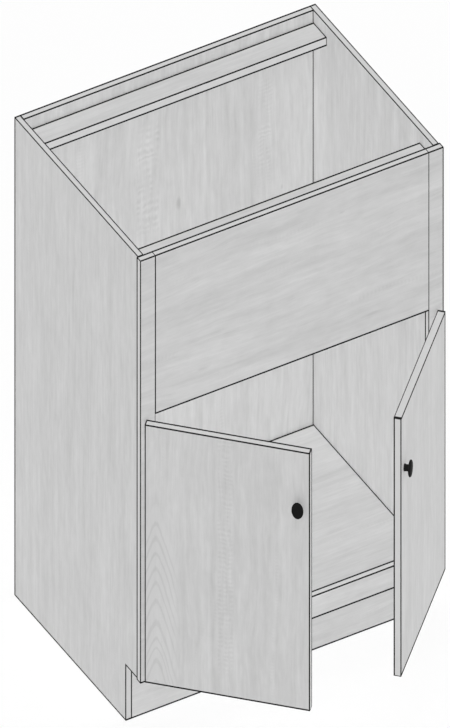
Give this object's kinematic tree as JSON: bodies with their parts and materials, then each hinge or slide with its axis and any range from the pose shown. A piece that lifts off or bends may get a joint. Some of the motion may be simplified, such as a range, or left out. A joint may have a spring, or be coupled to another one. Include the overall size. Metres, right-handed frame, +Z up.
{
  "type": "sink base cabinet",
  "caption": "Sink base cabinet: open-topped board carcass with a toe space, a face frame with a fixed false front, and a pair of slab doors on concealed hinges with round black knobs.",
  "frame": {"origin": "on the floor at the middle of the cabinet's back, where the wall meets the floor", "axes": "+X to the right seen from the front, +Y towards the wall, +Z up; the front faces -Y"},
  "size_m": [0.8382, 0.9167, 0.8763],
  "materials": {
    "laminate_upright": "pale grey wood-grain laminate, matt, grain upright",
    "laminate_lengthwise": "pale grey wood-grain laminate, matt, grain along the width",
    "edge_band": "pale grey edge band with a dark arris",
    "dowel_wood": "plain beech",
    "hinge_steel": "nickel-plated pressed steel",
    "pin_steel": "drawn steel",
    "screw_steel": "zinc-plated steel",
    "knob_black": "satin black",
    "bumper_rubber": "soft clear-grey pad"
  },
  "bodies": {
    "cabinet": {"back_panel": "laminate_upright", "bottom_rail": "laminate_lengthwise", "carcass_dowels": "dowel_wood", "false_front_panel": "laminate_lengthwise", "floor_panel": "laminate_lengthwise", "frame_dowels": "dowel_wood", "front_stretcher": "laminate_lengthwise", "left_hinge_arm_screws": "screw_steel", "left_lower_hinge_arm": "hinge_steel", "left_side_panel": "laminate_upright", "left_stile": "laminate_lengthwise", "left_upper_hinge_arm": "hinge_steel", "rear_stretcher": "laminate_lengthwise", "right_hinge_arm_screws": "screw_steel", "right_lower_hinge_arm": "hinge_steel", "right_side_panel": "laminate_upright", "right_stile": "laminate_lengthwise", "right_upper_hinge_arm": "hinge_steel", "toe_kick_board": "laminate_lengthwise"},
    "left_door": {"left_door_bumpers": "bumper_rubber", "left_door_edge_bands": "edge_band", "left_door_panel": "laminate_upright", "left_hinge_cup_screws": "screw_steel", "left_knob": "knob_black", "left_knob_screw": "screw_steel", "left_lower_hinge_cup": "hinge_steel", "left_lower_hinge_pin": "pin_steel", "left_upper_hinge_cup": "hinge_steel", "left_upper_hinge_pin": "pin_steel"},
    "right_door": {"right_door_bumpers": "bumper_rubber", "right_door_edge_bands": "edge_band", "right_door_panel": "laminate_upright", "right_hinge_cup_screws": "screw_steel", "right_knob": "knob_black", "right_knob_screw": "screw_steel", "right_lower_hinge_cup": "hinge_steel", "right_lower_hinge_pin": "pin_steel", "right_upper_hinge_cup": "hinge_steel", "right_upper_hinge_pin": "pin_steel"}
  },
  "joints": [
    {"name": "left_door_swing", "type": "hinge", "parent": "cabinet", "child": "left_door", "pos_m": [-0.40366, -0.62228, 0.34608], "axis": [0, 0, -1], "range_deg": [-45, 60]},
    {"name": "right_door_swing", "type": "hinge", "parent": "cabinet", "child": "right_door", "pos_m": [0.40366, -0.62228, 0.34608], "axis": [0, 0, 1], "range_deg": [-45, 60]}
  ]
}
